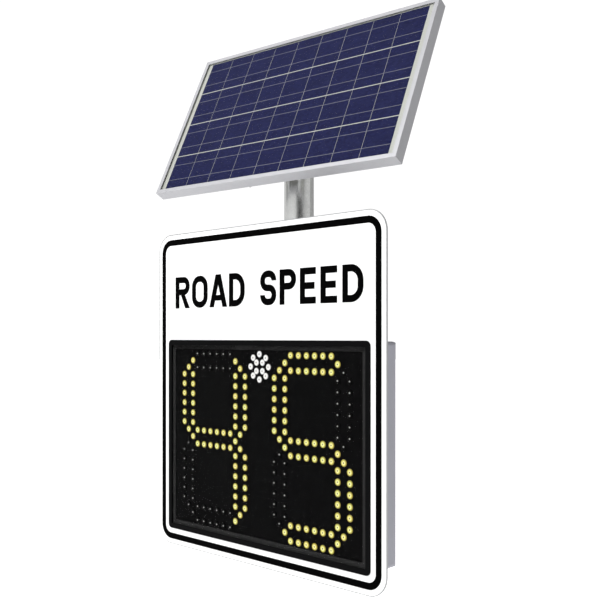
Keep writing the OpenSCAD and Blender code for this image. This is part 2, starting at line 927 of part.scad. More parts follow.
// Lock plug with its driver slot and the cam on its inner end
module lock_cam() {
  face = door_back + door_t + lock_flange[1] - 0.5;
  inner = door_back - lock_nut[1] - 4;
  color("gray") translate([lock_x, 0, door_z]) {
    difference() {
      rod_y(plug_r, inner, face);
      translate([-plug_slot[0] / 2, face - plug_slot[1], -plug_slot[2] / 2])
        cube(plug_slot + [0, through, 0]);
    }
    translate([0, inner, 0]) rotate([90, 0, 0]) linear_extrude(cam_t) {
      circle(cam_hub_r);
      translate([-cam_end_r, 0]) square([2 * cam_end_r, cam_len - cam_end_r]);
      translate([0, cam_len - cam_end_r]) circle(cam_end_r);
    }
  }
}

// Yoke on the mast head

module about_mast() { rotate([0, 0, panel_yaw]) children(); }

module yoke_collar() {
  color("silver") about_mast() translate([0, 0, collar_top]) difference() {
    translate([0, 0, -collar_h]) cylinder(r = mast_r + fit + collar_wall, h = collar_h, $fn = 96);
    translate([0, 0, -collar_h - through])
      cylinder(r = mast_r + fit, h = collar_h - collar_cap_t + through, $fn = 96);
    for (a = [0, 120, 240]) rotate([0, 0, a]) translate([0, 0, collar_bolt_z - collar_top])
      rod_y(collar_bolt_r, mast_r, mast_r + 2 * collar_wall);
  }
}

module yoke_bracket() {
  depth = 2 * ear_r;
  color("silver") about_mast() difference() {
    union() {
      translate([-yoke_half, -ear_r, collar_top]) cube([2 * yoke_half, depth, base_t]);
      for (s = [-1, 1]) translate([s * (yoke_half - ear_t / 2) - ear_t / 2, 0, 0]) {
        translate([0, -ear_r, collar_top]) cube([ear_t, depth, pivot_z - collar_top]);
        translate([0, 0, pivot_z]) rotate([0, 90, 0]) cylinder(r = ear_r, h = ear_t);
      }
    }
    translate([0, 0, pivot_z]) rotate([0, 90, 0])
      cylinder(r = pivot_r + running_fit, h = 3 * yoke_half, center = true);
    translate([0, 0, pivot_z - slot_r]) rotate([0, 90, 0])
      cylinder(r = lock_bolt_r + running_fit, h = 3 * yoke_half, center = true);
  }
}

// Collar bolts, pivot bolt with its nut, tilt lock bolts and the washers between the ears
module yoke_fasteners() {
  outside = cradle_in + cradle_t + gap;
  inside = yoke_half - ear_t;
  head = mast_r + collar_wall + 1;
  color("gray") about_mast() {
    for (a = [0, 120, 240]) rotate([0, 0, a]) translate([0, 0, collar_bolt_z]) {
      rod_y(collar_bolt_r, mast_r + gap, head + through);
      rod_y(collar_bolt_head[0], head, head + collar_bolt_head[1]);
    }
    translate([0, 0, pivot_z]) for (s = [-1, 1]) rotate([0, s * 90, 0]) {
      cylinder(r = pivot_r, h = outside + through);
      translate([0, 0, yoke_half]) cylinder(r = washer_r, h = washer_t);
      translate([0, 0, outside]) hexagon(pivot_nut[0], pivot_nut[1]);
    }
    translate([0, 0, pivot_z - slot_r]) for (s = [-1, 1]) rotate([0, s * 90, 0]) {
      translate([0, 0, inside - lock_nut_size[1]]) hexagon(lock_nut_size[0], lock_nut_size[1]);
      translate([0, 0, inside - through]) cylinder(r = lock_bolt_r, h = outside - inside + 2 * through);
      translate([0, 0, outside]) hexagon(lock_nut_size[0], lock_nut_size[1]);
    }
  }
}

// Solar panel

module on_pivot() {
  about_mast() translate([0, 0, pivot_z]) rotate([panel_tilt, 0, 0]) children();
}

// Ear plate in the panel's frame, drawn as its outline seen along X
module ear_outline() {
  difference() {
    intersection() {
      circle(cradle_r, $fn = 96);
      translate([-cradle_r, -cradle_r]) square([cradle_r + cradle_front, cradle_r + frame_back]);
    }
    intersection() {
      difference() {
        circle(slot_r + lock_bolt_r + gap);
        circle(slot_r - lock_bolt_r - gap);
      }
      polygon([[0, 0], 90 * [cos(slot_from), sin(slot_from)],
               110 * [cos(slot_from - 37), sin(slot_from - 37)], 90 * [cos(slot_to), sin(slot_to)]]);
    }
  }
}

module cradle_ears() {
  color("silver") on_pivot() difference() {
    for (s = [-1, 1]) translate([s * (cradle_in + cradle_t / 2) - cradle_t / 2, 0, 0])
      rotate([90, 0, 90]) linear_extrude(cradle_t) ear_outline();
    rotate([0, 90, 0]) cylinder(r = pivot_r + running_fit, h = 4 * yoke_half, center = true);
    for (y = ear_bolt_y) translate([0, y, frame_back - cross_d / 2]) rotate([0, 90, 0])
      cylinder(r = panel_bolt_r, h = 4 * yoke_half, center = true);
  }
}

panel_bolt_r = 3;
panel_bolt_head = [5, 2.5];
panel_nut = [10, 5];
ear_bolt_head_h = 4;
ear_bolt_y = [-30, 15];
bolt_y = panel_h / 2 - 15;
cross_len = panel_h - 22;

module cross_rails() {
  color("silver") on_pivot() for (s = [-1, 1])
    translate([s * rail_x - cross_w / 2, -cross_len / 2, frame_back - cross_d]) difference() {
      cube([cross_w, cross_len, cross_d]);
      translate([cross_t, -through, cross_t])
        cube([cross_w - 2 * cross_t, cross_len + 2 * through, cross_d - 2 * cross_t]);
      for (y = [-1, 1]) translate([cross_w / 2, cross_len / 2 + y * bolt_y, -through])
        cylinder(r = panel_bolt_r + fit, h = cross_d + 2 * through);
      for (y = ear_bolt_y) translate([-through, cross_len / 2 + y, cross_d / 2])
        rotate([0, 90, 0]) cylinder(r = panel_bolt_r, h = cross_w + 2 * through);
    }
}

// Bolts of the cross rails into the frame and of the cradle ears into the cross rails
module panel_bolts() {
  far = rail_x + cross_w / 2;
  behind = frame_back - cross_d;
  color("gray") on_pivot() {
    for (s = [-1, 1], y = [-1, 1]) translate([s * rail_x, y * bolt_y, 0]) {
      translate([0, 0, behind - panel_bolt_head[1]]) cylinder(r = panel_bolt_head[0], h = panel_bolt_head[1]);
      translate([0, 0, behind - through]) cylinder(r = panel_bolt_r, h = cross_d + frame_wall + 2 * through);
      translate([0, 0, frame_back + frame_wall]) hexagon(panel_nut[0], panel_nut[1]);
    }
    for (s = [-1, 1], y = ear_bolt_y) translate([0, y, frame_back - cross_d / 2])
      rotate([0, s * 90, 0]) {
        translate([0, 0, cradle_in]) cylinder(r = panel_bolt_r, h = far - cradle_in + through);
        translate([0, 0, far]) hexagon(panel_nut[0], ear_bolt_head_h);
      }
  }
}

// Frame profile: Y inwards from the outer face, Z from the back to the front
module frame_profile() {
  shelf = frame_d - lip_t - glass_t - cell_t - sheet_t - shelf_t;
  square([frame_wall, frame_d]);
  square([frame_flange, frame_wall]);
  translate([0, frame_d - lip_t]) square([lip_w, lip_t]);
  translate([0, shelf]) square([lip_w - 1, shelf_t]);
}

// One rail of length len along X with mitred ends, its outer face at y = -depth
module frame_rail(len, depth) {
  cutter = 60;
  difference() {
    translate([-len / 2, -depth, frame_back]) rotate([90, 0, 90]) linear_extrude(len) frame_profile();
    for (s = [-1, 1]) translate([s * len / 2, -depth, 0]) rotate([0, 0, s * 45])
      translate([s > 0 ? 0 : -cutter, -cutter, 0]) cube([cutter, 2 * cutter, 2 * cutter]);
  }
}

module frame_long_rails() {
  color("gainsboro") on_pivot() for (a = [0, 180]) rotate([0, 0, a])
    difference() {
      frame_rail(panel_w, panel_h / 2);
      for (s = [-1, 1]) translate([s * rail_x, -bolt_y, frame_back - through])
        cylinder(r = panel_bolt_r + fit, h = frame_wall + 2 * through);
    }
}

module frame_short_rails() {
  color("gainsboro") on_pivot() for (a = [90, 270]) rotate([0, 0, a]) frame_rail(panel_h, panel_w / 2);
}

laminate_play = 0.5;
laminate_w = panel_w - 2 * (frame_wall + laminate_play);
laminate_h = panel_h - 2 * (frame_wall + laminate_play);
glass_back = pivot_to_glass - glass_t;

module panel_glass() {
  color([0.5, 0.55, 0.7, 0.3]) on_pivot() translate([-laminate_w / 2, -laminate_h / 2, glass_back])
    cube([laminate_w, laminate_h, glass_t]);
}

module solar_cells() {
  pitch_x = cell_area_w / cell_columns;
  pitch_y = cell_area_h / cell_rows;
  color([0.15, 0.16, 0.3]) on_pivot() translate([-cell_area_w / 2, -cell_area_h / 2, glass_back - cell_t])
    for (i = [0:cell_columns - 1], j = [0:cell_rows - 1])
      translate([i * pitch_x + column_gap / 2, j * pitch_y + row_gap / 2, 0])
        cube([pitch_x - column_gap, pitch_y - row_gap, cell_t]);
}

module backsheet() {
  color("white") on_pivot()
    translate([-laminate_w / 2, -laminate_h / 2, glass_back - cell_t - sheet_t])
      cube([laminate_w, laminate_h, sheet_t]);
}

// Junction box with its lid, and the two ports for the leads
junction = [110, 70, 19];
junction_y = 130;
junction_lip = 2;
junction_lid_t = 3;
junction_port = [7, 14];
junction_port_x = 30;
module junction_box() {
  lid = junction + 2 * [junction_lip, junction_lip, 0];
  color([0.08, 0.08, 0.08]) on_pivot()
    translate([0, junction_y, glass_back - cell_t - sheet_t - junction[2] - junction_lid_t]) {
      translate([-junction[0] / 2, -junction[1] / 2, junction_lid_t]) cube(junction);
      translate([-lid[0] / 2, -lid[1] / 2, 0]) cube([lid[0], lid[1], junction_lid_t]);
      for (x = [-junction_port_x, junction_port_x])
        translate([x, -junction[1] / 2, junction_lid_t + junction[2] / 2]) rotate([90, 0, 0])
          difference() {
            cylinder(r = junction_port[0], h = junction_port[1]);
            cylinder(r = lead_r, h = junction_port[1] + through);
          }
    }
}

mast_tube();
mast_stop_ring();
mast_grub_screws();
sign_plate();
face_sheeting();
border_film();
legend_film();
window_bezel();
window_pane();
window_gasket();
led_mask();
tens_board();
units_board();
strobe_board();
tens_leds_lit();
tens_leds_unlit();
units_leds_lit();
units_leds_unlit();
strobe_leds();
radar_module();
enclosure_shell();
enclosure_gasket();
plate_studs();
stud_nuts();
header_stiffener();
chassis_brackets();
equipment_plate();
controller_board();
board_standoffs();
charge_controller();
switch_rocker();
terminal_block();
batteries();
battery_tray();
battery_strap();
cable_glands();
vent_plugs();
upper_rail();
lower_rail();
rail_bolts();
mast_saddles();
u_bolts();
u_bolt_nuts();
service_door();
door_gasket();
door_hinge();
lock_body();
lock_cam();
yoke_collar();
yoke_bracket();
yoke_fasteners();
cradle_ears();
cross_rails();
panel_bolts();
frame_long_rails();
frame_short_rails();
panel_glass();
solar_cells();
backsheet();
junction_box();
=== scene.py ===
import json
import math
import random

import bpy
from mathutils import Euler, Matrix, Vector


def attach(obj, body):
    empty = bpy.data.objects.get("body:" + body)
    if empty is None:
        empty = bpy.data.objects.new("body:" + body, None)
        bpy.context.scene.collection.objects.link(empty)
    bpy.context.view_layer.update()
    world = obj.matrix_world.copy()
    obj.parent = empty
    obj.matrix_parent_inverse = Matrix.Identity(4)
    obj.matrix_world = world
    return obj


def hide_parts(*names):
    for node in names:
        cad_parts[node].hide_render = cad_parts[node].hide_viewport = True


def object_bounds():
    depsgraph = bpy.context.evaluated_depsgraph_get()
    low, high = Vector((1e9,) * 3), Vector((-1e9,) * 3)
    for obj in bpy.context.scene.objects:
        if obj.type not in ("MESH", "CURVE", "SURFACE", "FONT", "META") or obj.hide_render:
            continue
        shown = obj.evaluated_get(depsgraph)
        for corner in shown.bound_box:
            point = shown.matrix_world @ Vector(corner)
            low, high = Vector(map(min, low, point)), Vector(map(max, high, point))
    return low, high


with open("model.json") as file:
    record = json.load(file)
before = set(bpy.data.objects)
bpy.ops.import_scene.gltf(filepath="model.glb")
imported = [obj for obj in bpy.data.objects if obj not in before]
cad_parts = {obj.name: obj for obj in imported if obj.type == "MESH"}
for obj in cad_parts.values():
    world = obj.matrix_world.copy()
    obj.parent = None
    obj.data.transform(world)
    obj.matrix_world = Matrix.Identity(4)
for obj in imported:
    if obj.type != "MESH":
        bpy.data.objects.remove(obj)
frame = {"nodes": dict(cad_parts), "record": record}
CAD_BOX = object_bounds()
NODES = frame["nodes"]
MM = 0.001

# Pieces built for their looks; lengths are in metres
SAME_POINT_DIGITS = 6  # vertices that agree to this many decimals are one point of a solid
SAME_ROW_DIGITS = 5
LENS_HEIGHT = 1.85 * MM
LENS_RINGS = (  # rings of an LED lens: radius and height, as shares of the lens's own
    (1.0, 0.0), (1.0, 0.3), (0.95, 0.52), (0.85, 0.70), (0.70, 0.82), (0.52, 0.89), (0.34, 0.91),
    (0.28, 0.92), (0.25, 0.96), (0.15, 0.99),
)
LENS_SIDES = 24
BUSBAR_WIDTH = 1.2 * MM
BUSBAR_SHARE = 0.27  # place of each row's busbars, as a share of the row's height from its edge
RIBBON_HEIGHT = 0.12 * MM
RIBBON_SINK = 0.05 * MM  # from the top of the CAD's cells down to the top of the ribbons
CELL_SLOT = 0  # place of each material in the cell matrix
RIBBON_SLOT = 1
BLOCK_FACES = ((3, 2, 1, 0), (4, 5, 6, 7), (0, 1, 5, 4), (1, 2, 6, 5), (2, 3, 7, 6), (3, 0, 4, 7))

# Grain of the looks; scales are per metre, or per length of a row of solar cells
NOISE_ROUGHNESS = 0.55
GRAIN_SCALE = 1400
PATCH_SCALE = 14
GLOSS_PATCH_SCALE = 70
BRUSHED_SCALE = 1800
BRUSHED_STRETCH = 0.02  # how much less often the tone changes along the brushed lines
SILICON_SCALE = 95
SILICON_SQUASH = 1.7
FINGER_COUNT = 440.0  # printed fingers along a row of solar cells
FINGER_WIDTH = 0.10  # as a share of the fingers' pitch
FINGER_STRENGTH = 0.04

# Studio, in metres; the brightness of its walls goes by their azimuth in degrees, from +X through +Y,
# with one dark screen to the right of the front
STUDIO_WALLS = (
    (-180, 0.85), (-76, 0.85), (-60, 0.18), (-50, 0.03), (-27, 0.03), (-8, 0.54), (34, 0.74), (62, 0.38),
    (125, 0.40), (155, 0.60), (180, 0.85),
)
BACKDROP_SEEN = 1.05  # brightness of the walls for the camera alone
FLOOR_SEEN = 1.0  # glow of the floor for the camera alone
FLOOR_BOUNCE = 0.55  # glow of the floor for all other rays, which light the part from below
FLOOR_LENGTH = 60.0
FLOOR_DROP = 0.5  # from the part's lowest point down to the floor
KEY_PLACE = (-0.8, -3.2, 3.4)
KEY_SIZE = (2.2, 2.2)
KEY_WATTS = 135
CAMERA_PLACE = (1.4613, -1.5646, 0.5425)
CAMERA_TURN = 42.98  # degrees about the vertical, from a view along +Y
CAMERA_LENS = 50  # mm
CAMERA_SENSOR = 36  # mm
CAMERA_SHIFT_UP = 0.0613  # as a share of the sensor's width

# ---------------------------------------------------------------- materials


class Nodes:
    """A node tree, with one method for each kind of step that the looks share."""

    def __init__(self, tree):
        self.tree = tree

    def node(self, kind, **settings):
        made = self.tree.nodes.new("ShaderNode" + kind)
        for key, value in settings.items():
            setattr(made, key, value)
        return made

    def link(self, source, target):
        self.tree.links.new(source, target)

    def feed(self, value, socket):
        """Gives a socket its number or its (r, g, b), or links another socket to it."""
        if isinstance(value, (int, float)):
            socket.default_value = value
        elif isinstance(value, tuple):
            socket.default_value = (*value, 1)
        else:
            self.link(value, socket)

    def calc(self, operation, a, b=0.0):
        made = self.node("Math", operation=operation)
        self.feed(a, made.inputs[0])
        self.feed(b, made.inputs[1])
        return made.outputs[0]

    def weigh(self, a, b, share):
        """share of a, and the rest of b."""
        return self.calc("ADD", self.calc("MULTIPLY", a, share), self.calc("MULTIPLY", b, 1 - share))

    def spread(self, value, low, high, start=0.3, end=0.7):
        """value from start to end becomes low to high."""
        made = self.node("MapRange")
        self.link(value, made.inputs["Value"])
        for key, number in (("From Min", start), ("From Max", end), ("To Min", low), ("To Max", high)):
            made.inputs[key].default_value = number
        return made.outputs["Result"]

    def ramp(self, value, stops):
        """Colour ramp of (position, (r, g, b)) stops."""
        made = self.node("ValToRGB")
        self.link(value, made.inputs["Fac"])
        elements = made.color_ramp.elements
        while len(elements) < len(stops):
            elements.new(0.5)
        for element, (position, colour) in zip(elements, stops):
            element.position = position
            element.color = (*colour, 1)
        return made.outputs["Color"]

    def blend(self, factor, a, b, mode="MIX", numbers=False):
        """a to b by factor, as colours or as numbers."""
        kind = "Float" if numbers else "Color"
        made = self.node("Mix", data_type="FLOAT" if numbers else "RGBA", blend_type=mode)
        inputs = {socket.identifier: socket for socket in made.inputs}
        outputs = {socket.identifier: socket for socket in made.outputs}
        self.feed(factor, inputs["Factor_Float"])
        self.feed(a, inputs["A_" + kind])
        self.feed(b, inputs["B_" + kind])
        return outputs["Result_" + kind]


class Look(Nodes):
    """A material and its Principled shader."""

    def __init__(self, name):
        self.material = bpy.data.materials.new(name)
        self.material.use_nodes = True
        super().__init__(self.material.node_tree)
        self.shader = self.tree.nodes["Principled BSDF"]

    def set(self, **values):
        for key, value in values.items():
            self.shader.inputs[key.replace("_", " ")].default_value = value

    def colour(self, socket):
        self.link(socket, self.shader.inputs["Base Color"])

    def rough(self, socket):
        self.link(socket, self.shader.inputs["Roughness"])

    def place(self, stretch=(1, 1, 1), turn=(0, 0, 0)):
        """Object coordinates, stretched and turned."""
        coords = self.node("TexCoord")
        mapping = self.node("Mapping")
        mapping.inputs["Scale"].default_value = stretch
        mapping.inputs["Rotation"].default_value = turn
        self.link(coords.outputs["Object"], mapping.inputs["Vector"])
        return mapping.outputs["Vector"]

    def uv(self):
        return self.node("UVMap", uv_map="UVMap").outputs["UV"]

    def noise(self, vector, scale, detail=3.0):
        made = self.node("TexNoise")
        self.link(vector, made.inputs["Vector"])
        made.inputs["Scale"].default_value = scale
        made.inputs["Detail"].default_value = detail
        made.inputs["Roughness"].default_value = NOISE_ROUGHNESS
        return made.outputs["Fac"]

    def voronoi(self, vector, scale, feature, output):
        made = self.node("TexVoronoi", feature=feature)
        self.link(vector, made.inputs["Vector"])
        made.inputs["Scale"].default_value = scale
        return made.outputs[output]

    def crystals(self, vector, scale):
        """A value of its own for each crystal."""
        colours = self.voronoi(vector, scale, "F1", "Color")
        split = self.node("SeparateColor")
        self.link(colours, split.inputs["Color"])
        return split.outputs["Red"]

    def shade(self, value, colour, amount, start=0.3, end=0.7):
        """colour, darker and lighter by amount as value goes from start to end."""
        dark = tuple(c * (1 - amount) for c in colour)
        light = tuple(min(1, c * (1 + amount)) for c in colour)
        return self.ramp(self.spread(value, 0, 1, start, end), ((0, dark), (1, light)))

    def uneven_gloss(self, value, rough, amount):
        """Roughness about rough, lower and higher by amount as value changes."""
        self.rough(self.spread(value, rough * (1 - amount), rough * (1 + amount)))

    def bump(self, height, depth, strength):
        made = self.node("Bump")
        made.inputs["Distance"].default_value = depth
        made.inputs["Strength"].default_value = strength
        self.link(height, made.inputs["Height"])
        self.link(made.outputs["Normal"], self.shader.inputs["Normal"])


def plain(name, colour, rough, metal=0.0, specular=0.5, tone=0.05, grain=0.05 * MM):
    """A moulded, painted or cast surface: soft patches of tone, a fine grain and uneven gloss."""
    look = Look(name)
    look.set(Metallic=metal, Specular_IOR_Level=specular)
    where = look.place()
    patches = look.noise(where, PATCH_SCALE)
    fine = look.noise(where, GRAIN_SCALE, detail=2.0)
    look.colour(look.shade(look.weigh(patches, fine, share=0.7), colour, tone))
    look.uneven_gloss(look.noise(where, GLOSS_PATCH_SCALE), rough, amount=0.15)
    look.bump(fine, depth=grain, strength=0.6)
    return look.material


def brushed(name, colour, rough, along, metal=1.0, tone=0.05):
    """Drawn or extruded metal with faint lines along one axis."""
    look = Look(name)
    look.set(Metallic=metal)
    stretch = tuple(BRUSHED_STRETCH if axis == along else 1 for axis in "XYZ")
    lines = look.noise(look.place(stretch), BRUSHED_SCALE, detail=2.0)
    patches = look.noise(look.place(), scale=9)
    both = look.weigh(patches, lines, share=0.5)
    look.colour(look.shade(both, colour, tone))
    look.uneven_gloss(both, rough, amount=0.15)
    look.bump(lines, depth=0.015 * MM, strength=0.5)
    return look.material


def galvanised():
    """Zinc spangle: flat crystals of slightly different grey, with a dull weathered bloom."""
    look = Look("galvanised_steel")
    look.set(Metallic=0.9)
    where = look.place()
    crystals = look.crystals(where, scale=90)
    bloom = look.noise(where, scale=11, detail=4.0)
    both = look.weigh(crystals, bloom, share=0.35)
    look.colour(look.shade(both, (0.66, 0.665, 0.655), amount=0.055, start=0.2, end=0.8))
    look.rough(look.spread(both, 0.20, 0.27, start=0.2, end=0.8))
    look.bump(look.noise(where, scale=60), depth=0.1 * MM, strength=0.07)
    return look.material


def sheeting():
    """White reflective sheeting: a fine honeycomb of cells under a smooth film."""
    look = Look("white_sheeting")
    look.set(Coat_Weight=0.25, Coat_Roughness=0.12, Specular_IOR_Level=0.35)
    where = look.place()
    edges = look.voronoi(where, 330, "DISTANCE_TO_EDGE", "Distance")
    cells = look.spread(edges, 0, 1, start=0.0, end=0.08)
    patches = look.noise(where, scale=6)
    tone = look.blend(cells, (0.84, 0.84, 0.84), (0.90, 0.90, 0.898))
    look.colour(look.blend(look.spread(patches, 0.0, 0.35), tone, (0.875, 0.877, 0.875)))
    look.rough(look.spread(cells, 0.5, 0.42, start=0, end=1))
    look.bump(cells, depth=0.02 * MM, strength=0.35)
    return look.material


def powder_coat(name, colour, rough, specular=0.5):
    """Powder coat with its orange peel."""
    look = Look(name)
    look.set(Specular_IOR_Level=specular)
    where = look.place()
    peel = look.noise(where, scale=520, detail=2.0)
    patches = look.noise(where, scale=7, detail=4.0)
    look.colour(look.shade(patches, colour, amount=0.05))
    look.uneven_gloss(peel, rough, amount=0.12)
    look.bump(peel, depth=0.06 * MM, strength=0.5)
    return look.material


def clear_sheet(name, tint, grazing, rough, head_on=0.0001):
    """Clear sheet with an anti-reflective coating and faint smears in its gloss.

    head_on is the share of light that it mirrors straight on, and grazing is what the slant adds.
    """
    look = Look(name)
    look.set(Metallic=1.0, Base_Color=(0.9, 0.9, 0.9, 1))
    look.uneven_gloss(look.noise(look.place(), scale=16, detail=4.0), rough, amount=0.4)
    clear = look.node("BsdfTransparent")
    clear.inputs["Color"].default_value = (*tint, 1)
    slant = look.node("LayerWeight").outputs["Facing"]
    by_slant = look.calc("MULTIPLY", look.calc("POWER", slant, 5.0), grazing)
    mix = look.node("MixShader")
    look.link(look.calc("ADD", by_slant, head_on), mix.inputs["Fac"])
    look.link(clear.outputs["BSDF"], mix.inputs[1])
    look.link(look.shader.outputs["BSDF"], mix.inputs[2])
    look.link(mix.outputs["Shader"], look.tree.nodes["Material Output"].inputs["Surface"])
    return look.material


def lens_radius(look):
    """Distance from the middle of a lens, 0 to 1, from its UVs."""
    centred = look.node("VectorMath", operation="SUBTRACT")
    look.link(look.uv(), centred.inputs[0])
    centred.inputs[1].default_value = (0.5, 0.5, 0)
    length = look.node("VectorMath", operation="LENGTH")
    look.link(centred.outputs["Vector"], length.inputs[0])
    return look.calc("MULTIPLY", length.outputs["Value"], 2.0)


def lit_lens(name, stops, warm, cool):
    """A glowing lens: its light falls off towards the rim, around the dark dot of the chip."""
    look = Look(name)
    look.set(Base_Color=(0.04, 0.03, 0.01, 1), Roughness=0.25, Emission_Strength=1.0)
    tint = look.node("Attribute", attribute_name="tint").outputs["Fac"]
    glow = look.blend(tint, warm, cool)
    face = look.ramp(lens_radius(look), stops)
    ripple = look.spread(look.noise(look.place(), scale=500), 0.92, 1.06)
    lit = look.blend(1.0, face, glow, mode="MULTIPLY")
    scaled = look.node("VectorMath", operation="SCALE")
    look.link(lit, scaled.inputs[0])
    look.link(ripple, scaled.inputs["Scale"])
    look.link(scaled.outputs["Vector"], look.shader.inputs["Emission Color"])
    return look.material


def unlit_lens():
    """A dark lens with the grey chip just visible in its middle."""
    look = Look("lens_unlit")
    look.set(Specular_IOR_Level=0.02)
    radius = lens_radius(look)
    speck = look.spread(look.noise(look.place(), scale=700), -0.03, 0.03)
    look.colour(look.ramp(look.calc("ADD", radius, speck), UNLIT_STOPS))
    look.rough(look.spread(look.noise(look.place(), scale=300), 0.3, 0.45))
    return look.material


def silicon():
    """Polycrystalline cells: blue-violet grains, with the fine printed fingers across the busbars."""
    look = Look("silicon_cells")
    look.set(Specular_IOR_Level=0.0, Coat_Weight=0.15, Coat_Roughness=0.12)
    uv = look.uv()
    mapping = look.node("Mapping")
    look.link(uv, mapping.inputs["Vector"])
    mapping.inputs["Scale"].default_value = (1.0, SILICON_SQUASH, 1)
    grains = look.crystals(mapping.outputs["Vector"], SILICON_SCALE)
    both = look.weigh(grains, look.noise(uv, scale=9), share=0.55)
    body = look.ramp(look.spread(both, 0, 1, start=0.2, end=0.8), SILICON_STOPS)
    axis = look.node("SeparateXYZ")
    look.link(uv, axis.inputs[0])
    pitch = look.calc("FRACT", look.calc("MULTIPLY", axis.outputs["X"], FINGER_COUNT))
    finger = look.calc("LESS_THAN", pitch, FINGER_WIDTH)
    look.colour(look.blend(look.calc("MULTIPLY", finger, FINGER_STRENGTH), body, (0.14, 0.14, 0.20)))
    look.rough(look.spread(grains, 0.32, 0.5, start=0, end=1))
    return look.material


def circuit_board():
    """Green solder mask over copper tracks."""
    look = Look("circuit_board")
    where = look.place(turn=(math.pi / 2, 0, 0))
    tracks = look.node("TexBrick")
    look.link(where, tracks.inputs["Vector"])
    for key, value in (("Scale", 60.0), ("Mortar Size", 0.12), ("Brick Width", 0.9), ("Row Height", 0.2)):
        tracks.inputs[key].default_value = value
    tracks.inputs["Color1"].default_value = (0.012, 0.10, 0.035, 1)
    tracks.inputs["Color2"].default_value = (0.014, 0.115, 0.04, 1)
    tracks.inputs["Mortar"].default_value = (0.03, 0.19, 0.07, 1)
    cloud = look.noise(where, scale=40)
    look.colour(look.blend(look.spread(cloud, 0, 0.3), tracks.outputs["Color"], (0.008, 0.07, 0.03)))
    look.rough(look.spread(cloud, 0.25, 0.4))
    look.bump(tracks.outputs["Fac"], depth=0.05 * MM, strength=0.4)
    return look.material


def webbing():
    """Woven strap."""
    look = Look("webbing")
    look.set(Sheen_Weight=0.3)
    weave = look.node("TexWave", wave_type="BANDS", bands_direction="DIAGONAL")
    look.link(look.place(), weave.inputs["Vector"])
    weave.inputs["Scale"].default_value = 420
    weave.inputs["Distortion"].default_value = 1.5
    look.colour(look.ramp(weave.outputs["Fac"], ((0, (0.012, 0.012, 0.013)), (1, (0.04, 0.04, 0.043)))))
    look.rough(look.spread(weave.outputs["Fac"], 0.7, 0.9, start=0, end=1))
    look.bump(weave.outputs["Fac"], depth=0.3 * MM, strength=0.7)
    return look.material


def pale_floor():
    """White floor that runs into the white backdrop without a horizon."""
    look = Look("studio_floor")
    look.set(Specular_IOR_Level=0.1, Emission_Color=(1, 1, 1, 1))
    cloud = look.noise(look.place(), scale=3)
    look.colour(look.shade(cloud, (0.93, 0.93, 0.93), amount=0.006))
    look.rough(look.spread(cloud, 0.75, 0.9))
    seen = look.node("LightPath").outputs["Is Camera Ray"]
    glow = look.spread(seen, FLOOR_BOUNCE, FLOOR_SEEN, start=0, end=1)
    look.link(glow, look.shader.inputs["Emission Strength"])
    return look.material


# Colours of a lens from its middle to its rim
AMBER_STOPS = (
    (0.0, (0.16, 0.13, 0.02)), (0.15, (0.26, 0.22, 0.03)), (0.26, (0.93, 0.92, 0.50)),
    (0.45, (0.92, 0.90, 0.38)), (0.66, (0.74, 0.69, 0.13)), (0.84, (0.42, 0.36, 0.03)),
    (1.0, (0.10, 0.07, 0.01)),
)
WHITE_STOPS = (
    (0.0, (0.10, 0.10, 0.10)), (0.14, (0.22, 0.22, 0.22)), (0.24, (0.85, 0.85, 0.86)),
    (0.70, (0.93, 0.93, 0.94)), (0.90, (0.72, 0.72, 0.74)), (1.0, (0.30, 0.30, 0.31)),
)
UNLIT_STOPS = (
    (0.0, (0.40, 0.40, 0.39)), (0.19, (0.34, 0.34, 0.33)), (0.24, (0.003, 0.003, 0.003)),
    (1.0, (0.0018, 0.0018, 0.0018)),
)
# Colours of the crystals of the solar cells
SILICON_STOPS = ((0, (0.0100, 0.0112, 0.046)), (1, (0.0150, 0.0170, 0.066)))

